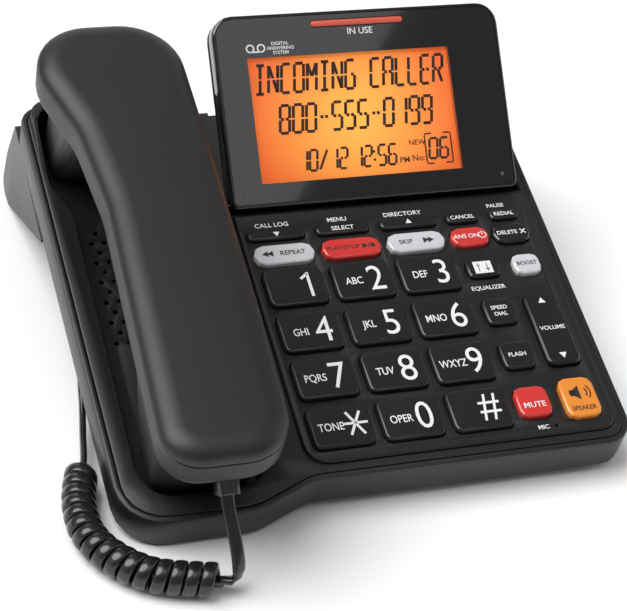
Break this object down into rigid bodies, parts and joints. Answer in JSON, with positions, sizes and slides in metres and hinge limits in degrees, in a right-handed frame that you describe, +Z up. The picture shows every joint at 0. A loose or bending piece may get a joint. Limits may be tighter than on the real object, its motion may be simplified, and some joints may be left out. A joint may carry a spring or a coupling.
{
  "type": "corded desk telephone",
  "caption": "Corded desk telephone with a handset on the left, large keys, answering-system keys, a tilting backlit display and a curly handset cord.",
  "frame": {"origin": "bottom centre of the telephone's box, without its cord, on the surface that the feet stand on", "axes": "+Z up, +X to the right along the rows of keys, +Y towards the rear, where the display is"},
  "size_m": [0.2109, 0.2521, 0.1059],
  "materials": {
    "black_plastic": "black ABS, fine satin texture",
    "key_black": "black satin keys and small mouldings",
    "gloss_black": "polished black",
    "silver_key": "glossy silver-white keys",
    "red_key": "translucent red keys",
    "orange_key": "translucent orange key",
    "amber_screen": "amber backlit liquid crystal screen",
    "red_lens": "translucent red lens",
    "clear_window": "clear acrylic window, printed black round the screen",
    "rubber": "matt black rubber",
    "silicone": "grey silicone key mat",
    "circuit_board": "green circuit board",
    "steel": "plated steel",
    "cord_black": "glossy black cord sheath",
    "plug_clear": "smoky clear modular plug"
  },
  "bodies": {
    "base": {"base_speaker": "steel", "bottom_casing": "black_plastic", "cord_coil": "cord_black", "cord_lead_base": "cord_black", "cord_lead_handset": "cord_black", "cord_plug_base": "plug_clear", "foot_front_left": "rubber", "foot_front_right": "rubber", "foot_rear_left": "rubber", "foot_rear_right": "rubber", "handset_jack": "key_black", "hinge_rod": "steel", "hook_switch": "key_black", "key_mat": "silicone", "keypad_plate": "black_plastic", "line_jack": "key_black", "main_board": "circuit_board", "power_jack": "key_black", "top_casing": "black_plastic", "wedge_stand": "black_plastic"},
    "display": {"display_front": "gloss_black", "display_back": "black_plastic", "display_window": "clear_window", "lcd_module": "amber_screen", "in_use_light": "red_lens"},
    "handset": {"handset_top": "black_plastic", "handset_bottom": "black_plastic", "ear_receiver": "steel", "handset_microphone": "steel", "cord_plug": "plug_clear"},
    "hook_plunger": {"hook_plunger": "key_black"},
    "volume_rocker": {"volume_rocker": "key_black"},
    "answer_key": {"answer_key": "red_key"},
    "boost_key": {"boost_key": "silver_key"},
    "call_log_key": {"call_log_key": "key_black"},
    "cancel_key": {"cancel_key": "key_black"},
    "delete_key": {"delete_key": "gloss_black"},
    "directory_key": {"directory_key": "key_black"},
    "equalizer_key": {"equalizer_key": "key_black"},
    "flash_key": {"flash_key": "key_black"},
    "key_0": {"key_0": "key_black"},
    "key_1": {"key_1": "key_black"},
    "key_2": {"key_2": "key_black"},
    "key_3": {"key_3": "key_black"},
    "key_4": {"key_4": "key_black"},
    "key_5": {"key_5": "key_black"},
    "key_6": {"key_6": "key_black"},
    "key_7": {"key_7": "key_black"},
    "key_8": {"key_8": "key_black"},
    "key_9": {"key_9": "key_black"},
    "key_pound": {"key_pound": "key_black"},
    "key_star": {"key_star": "key_black"},
    "menu_key": {"menu_key": "key_black"},
    "mute_key": {"mute_key": "red_key"},
    "play_key": {"play_key": "red_key"},
    "redial_key": {"redial_key": "key_black"},
    "repeat_key": {"repeat_key": "silver_key"},
    "skip_key": {"skip_key": "silver_key"},
    "speaker_key": {"speaker_key": "orange_key"},
    "speed_dial_key": {"speed_dial_key": "key_black"}
  },
  "joints": [
    {"name": "handset_lift", "type": "slide", "parent": "base", "child": "handset", "axis": [0, -0.2419, 0.9703], "range_m": [0, 0.06]},
    {"name": "hook_plunger_rise", "type": "slide", "parent": "base", "child": "hook_plunger", "axis": [0, -0.2419, 0.9703], "range_m": [0, 0.003]},
    {"name": "display_tilt", "type": "hinge", "parent": "base", "child": "display", "pos_m": [0.03203, 0.03053, 0.04553], "axis": [1, 0, 0], "range_deg": [-31, 6]},
    {"name": "volume_rock", "type": "hinge", "parent": "base", "child": "volume_rocker", "pos_m": [0.08163, -0.04474, 0.02831], "axis": [1, 0, 0], "range_deg": [-4, 4], "stiffness_Nm_per_rad": 0.3},
    {"name": "answer_key_press", "type": "slide", "parent": "base", "child": "answer_key", "axis": [0, 0.2419, -0.9703], "range_m": [0, 0.0012], "stiffness_N_per_m": 1200},
    {"name": "boost_key_press", "type": "slide", "parent": "base", "child": "boost_key", "axis": [0, 0.2419, -0.9703], "range_m": [0, 0.0012], "stiffness_N_per_m": 1200},
    {"name": "call_log_key_press", "type": "slide", "parent": "base", "child": "call_log_key", "axis": [0, 0.2419, -0.9703], "range_m": [0, 0.0012], "stiffness_N_per_m": 1200},
    {"name": "cancel_key_press", "type": "slide", "parent": "base", "child": "cancel_key", "axis": [0, 0.2419, -0.9703], "range_m": [0, 0.0012], "stiffness_N_per_m": 1200},
    {"name": "delete_key_press", "type": "slide", "parent": "base", "child": "delete_key", "axis": [0, 0.2419, -0.9703], "range_m": [0, 0.0012], "stiffness_N_per_m": 1200},
    {"name": "directory_key_press", "type": "slide", "parent": "base", "child": "directory_key", "axis": [0, 0.2419, -0.9703], "range_m": [0, 0.0012], "stiffness_N_per_m": 1200},
    {"name": "equalizer_key_press", "type": "slide", "parent": "base", "child": "equalizer_key", "axis": [0, 0.2419, -0.9703], "range_m": [0, 0.0012], "stiffness_N_per_m": 1200},
    {"name": "flash_key_press", "type": "slide", "parent": "base", "child": "flash_key", "axis": [0, 0.2419, -0.9703], "range_m": [0, 0.0012], "stiffness_N_per_m": 1200},
    {"name": "key_0_press", "type": "slide", "parent": "base", "child": "key_0", "axis": [0, 0.2419, -0.9703], "range_m": [0, 0.0012], "stiffness_N_per_m": 1200},
    {"name": "key_1_press", "type": "slide", "parent": "base", "child": "key_1", "axis": [0, 0.2419, -0.9703], "range_m": [0, 0.0012], "stiffness_N_per_m": 1200},
    {"name": "key_2_press", "type": "slide", "parent": "base", "child": "key_2", "axis": [0, 0.2419, -0.9703], "range_m": [0, 0.0012], "stiffness_N_per_m": 1200},
    {"name": "key_3_press", "type": "slide", "parent": "base", "child": "key_3", "axis": [0, 0.2419, -0.9703], "range_m": [0, 0.0012], "stiffness_N_per_m": 1200},
    {"name": "key_4_press", "type": "slide", "parent": "base", "child": "key_4", "axis": [0, 0.2419, -0.9703], "range_m": [0, 0.0012], "stiffness_N_per_m": 1200},
    {"name": "key_5_press", "type": "slide", "parent": "base", "child": "key_5", "axis": [0, 0.2419, -0.9703], "range_m": [0, 0.0012], "stiffness_N_per_m": 1200},
    {"name": "key_6_press", "type": "slide", "parent": "base", "child": "key_6", "axis": [0, 0.2419, -0.9703], "range_m": [0, 0.0012], "stiffness_N_per_m": 1200},
    {"name": "key_7_press", "type": "slide", "parent": "base", "child": "key_7", "axis": [0, 0.2419, -0.9703], "range_m": [0, 0.0012], "stiffness_N_per_m": 1200},
    {"name": "key_8_press", "type": "slide", "parent": "base", "child": "key_8", "axis": [0, 0.2419, -0.9703], "range_m": [0, 0.0012], "stiffness_N_per_m": 1200},
    {"name": "key_9_press", "type": "slide", "parent": "base", "child": "key_9", "axis": [0, 0.2419, -0.9703], "range_m": [0, 0.0012], "stiffness_N_per_m": 1200},
    {"name": "key_pound_press", "type": "slide", "parent": "base", "child": "key_pound", "axis": [0, 0.2419, -0.9703], "range_m": [0, 0.0012], "stiffness_N_per_m": 1200},
    {"name": "key_star_press", "type": "slide", "parent": "base", "child": "key_star", "axis": [0, 0.2419, -0.9703], "range_m": [0, 0.0012], "stiffness_N_per_m": 1200},
    {"name": "menu_key_press", "type": "slide", "parent": "base", "child": "menu_key", "axis": [0, 0.2419, -0.9703], "range_m": [0, 0.0012], "stiffness_N_per_m": 1200},
    {"name": "mute_key_press", "type": "slide", "parent": "base", "child": "mute_key", "axis": [0, 0.2419, -0.9703], "range_m": [0, 0.0012], "stiffness_N_per_m": 1200},
    {"name": "play_key_press", "type": "slide", "parent": "base", "child": "play_key", "axis": [0, 0.2419, -0.9703], "range_m": [0, 0.0012], "stiffness_N_per_m": 1200},
    {"name": "redial_key_press", "type": "slide", "parent": "base", "child": "redial_key", "axis": [0, 0.2419, -0.9703], "range_m": [0, 0.0012], "stiffness_N_per_m": 1200},
    {"name": "repeat_key_press", "type": "slide", "parent": "base", "child": "repeat_key", "axis": [0, 0.2419, -0.9703], "range_m": [0, 0.0012], "stiffness_N_per_m": 1200},
    {"name": "skip_key_press", "type": "slide", "parent": "base", "child": "skip_key", "axis": [0, 0.2419, -0.9703], "range_m": [0, 0.0012], "stiffness_N_per_m": 1200},
    {"name": "speaker_key_press", "type": "slide", "parent": "base", "child": "speaker_key", "axis": [0, 0.2419, -0.9703], "range_m": [0, 0.0012], "stiffness_N_per_m": 1200},
    {"name": "speed_dial_key_press", "type": "slide", "parent": "base", "child": "speed_dial_key", "axis": [0, 0.2419, -0.9703], "range_m": [0, 0.0012], "stiffness_N_per_m": 1200}
  ],
  "couplings": [
    {"joint": "hook_plunger_rise", "follows": "handset_lift", "ratio": 0.05}
  ]
}
